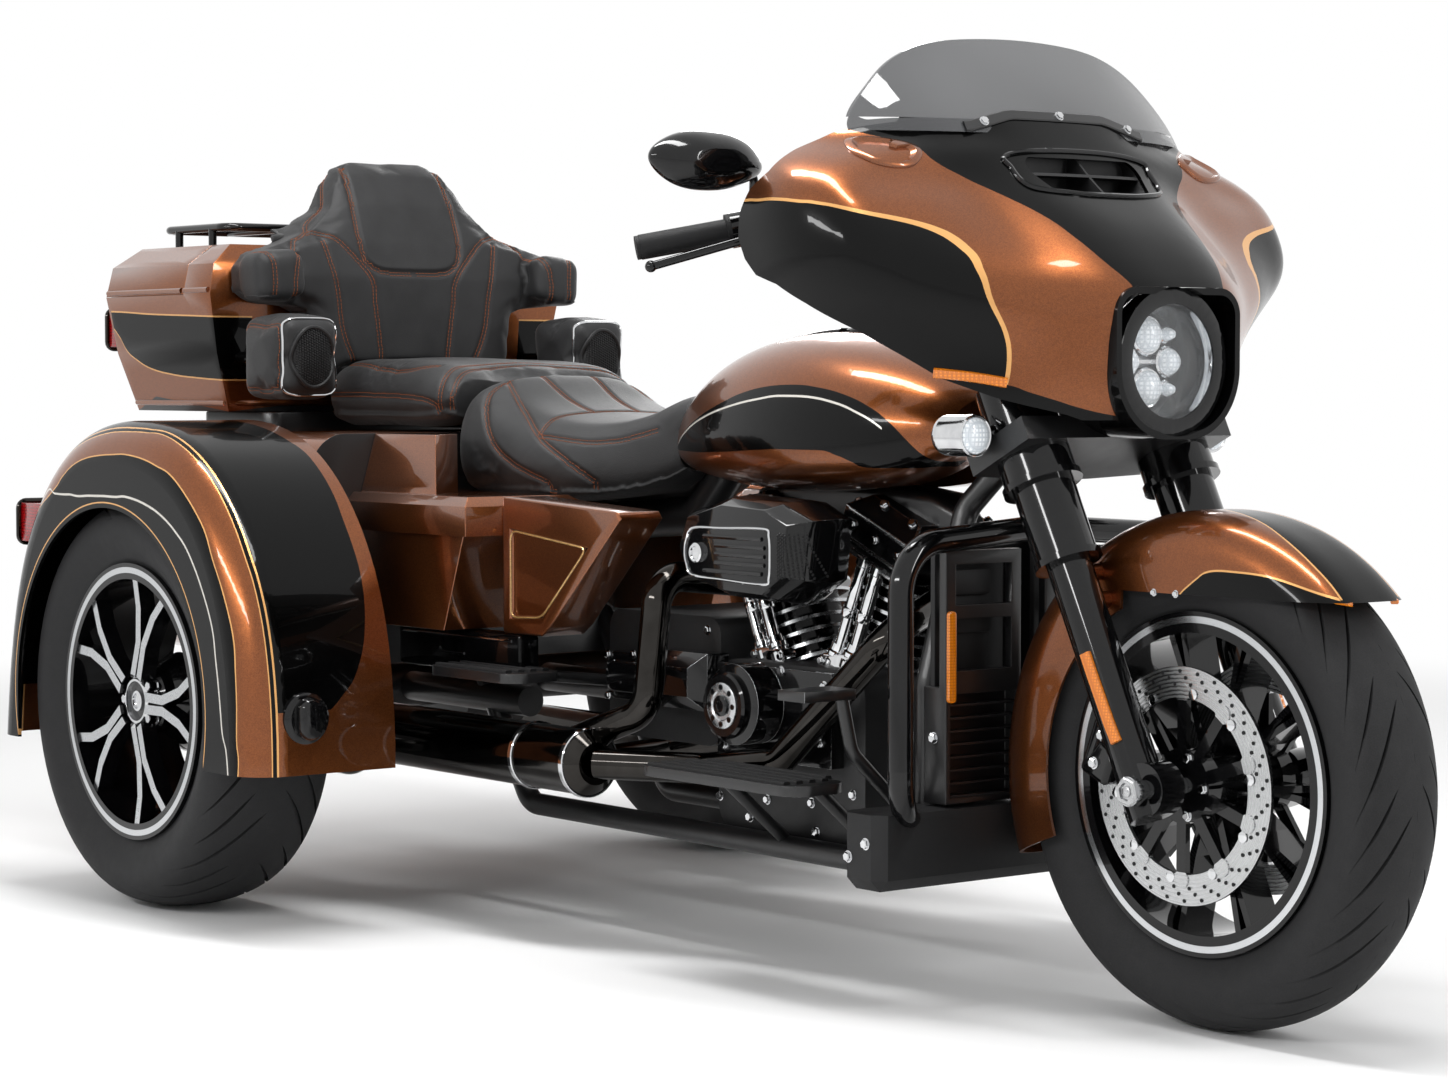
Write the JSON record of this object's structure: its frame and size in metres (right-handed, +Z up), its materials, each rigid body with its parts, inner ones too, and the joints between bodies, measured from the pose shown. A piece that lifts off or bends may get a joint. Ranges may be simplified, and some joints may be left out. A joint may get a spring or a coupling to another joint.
{
  "type": "motorized trike",
  "caption": "Touring motorcycle with two rear wheels, a fork mounted fairing, a V twin engine, a two up seat and a luggage case.",
  "frame": {"origin": "on the floor under the middle of the overall length, in the middle plane", "axes": "+X forward, +Y to the rider's left, +Z up"},
  "size_m": [2.68, 1.35, 1.284],
  "materials": {
    "copper_paint": "metallic copper base coat under clear coat",
    "black_paint": "gloss black enamel",
    "black_metal": "black powder coat",
    "black_chrome": "dark polished plating",
    "bright_chrome": "polished plating",
    "alloy": "machined and black painted casting",
    "steel": "ground stainless steel",
    "rubber_black": "moulded rubber",
    "tyre_rubber": "moulded tyre rubber",
    "matte_black": "textured plastic",
    "seat_vinyl": "grained black cover",
    "smoke_screen": "smoked clear screen",
    "clear_lens": "clear lens",
    "red_lens": "red lens"
  },
  "bodies": {
    "chassis": {"frame": "black_metal", "engine_block": "black_metal", "cylinders": "alloy", "rocker_covers": "black_metal", "pushrod_tubes": "bright_chrome", "engine_covers": "black_metal", "air_cleaner": "black_metal", "exhaust_headers": "black_chrome", "mufflers": "black_chrome", "engine_guard": "black_metal", "radiators": "black_metal", "lower_cover": "matte_black", "footboards": "black_metal", "pedals": "black_metal", "fuel_tank": "copper_paint", "rider_seat": "seat_vinyl", "passenger_seat": "seat_vinyl", "backrest": "seat_vinyl", "speaker_pods": "seat_vinyl", "side_covers": "copper_paint", "body_steps": "copper_paint", "rear_body": "copper_paint", "rear_fenders": "copper_paint", "rear_axle": "black_metal", "swing_arm": "black_metal", "tail_lamps": "red_lens", "tour_pack_tub": "copper_paint"},
    "steering": {"front_axle": "bright_chrome", "fork_tubes": "black_metal", "triple_clamp": "black_metal", "front_fender": "copper_paint", "calipers": "black_metal", "fairing": "copper_paint", "dash": "matte_black", "windshield": "smoke_screen", "headlamp": "black_metal", "headlamp_lens": "clear_lens", "handlebar": "black_metal", "grips": "rubber_black", "levers": "black_metal", "mirrors": "black_metal", "passing_lamps": "bright_chrome", "nacelle": "black_paint", "fairing_vent": "matte_black"},
    "wheel_front": {"front_tyre": "tyre_rubber", "front_rim": "alloy", "brake_discs": "steel"},
    "wheel_rear_left": {"rear_tyre_left": "tyre_rubber", "rear_rim_left": "alloy"},
    "wheel_rear_right": {"rear_tyre_right": "tyre_rubber", "rear_rim_right": "alloy"},
    "case_lid": {"tour_pack_lid": "copper_paint", "luggage_rack": "black_metal"},
    "trunk_door": {"trunk_door": "copper_paint"}
  },
  "joints": [
    {"name": "steer", "type": "hinge", "parent": "chassis", "child": "steering", "pos_m": [1.115, 0, 0], "axis": [-0.4415, 0, 0.8973], "range_deg": [-35, 35]},
    {"name": "front_wheel_spin", "type": "hinge", "parent": "steering", "child": "wheel_front", "pos_m": [1.024, 0, 0.316], "axis": [0, 1, 0], "continuous": true},
    {"name": "rear_left_wheel_spin", "type": "hinge", "parent": "chassis", "child": "wheel_rear_left", "pos_m": [-0.706, 0.545, 0.325], "axis": [0, 1, 0], "continuous": true},
    {"name": "rear_right_wheel_spin", "type": "hinge", "parent": "chassis", "child": "wheel_rear_right", "pos_m": [-0.706, -0.545, 0.325], "axis": [0, 1, 0], "continuous": true},
    {"name": "case_lid_hinge", "type": "hinge", "parent": "chassis", "child": "case_lid", "pos_m": [-1.165, 0.355, 0.968], "axis": [-1, 0, 0], "range_deg": [0, 80]},
    {"name": "trunk_door_hinge", "type": "hinge", "parent": "chassis", "child": "trunk_door", "pos_m": [-1.165, 0.3, 0.565], "axis": [0, 0, 1], "range_deg": [-95, 0]}
  ]
}
